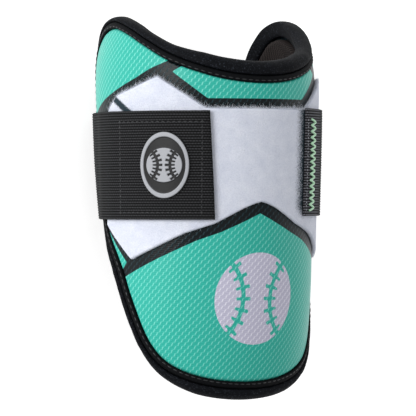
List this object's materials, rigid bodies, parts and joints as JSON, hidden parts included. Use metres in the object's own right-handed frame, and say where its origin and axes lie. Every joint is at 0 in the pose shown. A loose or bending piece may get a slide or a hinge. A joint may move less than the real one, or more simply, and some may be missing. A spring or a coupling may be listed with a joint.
{
  "type": "baseball elbow guard",
  "caption": "Curved hard-shell elbow guard with a soft rolled rim, a V-edged loop panel and a wide elastic strap that closes it round the arm.",
  "frame": {"origin": "on the surface that the guard lies on, under the middle of its bounding box", "axes": "+Y along the arm towards the wide end, +Z out of the guard's front, +X to the right as seen from the front"},
  "size_m": [0.135, 0.2174, 0.1154],
  "materials": {
    "printed_knit": "mint green embossed diamond knit with dark bands, bonded over a hard shell",
    "brushed_loop": "cool white brushed loop pile",
    "edge_tape": "black stitched binding tape",
    "neoprene_rim": "black jersey-faced neoprene, soft and smooth",
    "rib_lining": "brown-black rib-knit lining over foam",
    "ribbed_elastic": "charcoal ribbed knitted elastic",
    "hook_tape": "black moulded hook tape",
    "moulded_badge": "silver-grey moulded rubber"
  },
  "bodies": {
    "root": {"outer_shell": "printed_knit", "loop_panel": "brushed_loop", "edge_binding": "edge_tape", "rim_liner": "neoprene_rim", "inner_pad": "rib_lining", "strap": "ribbed_elastic", "hook_patch": "hook_tape", "strap_badge": "moulded_badge"}
  },
  "joints": []
}
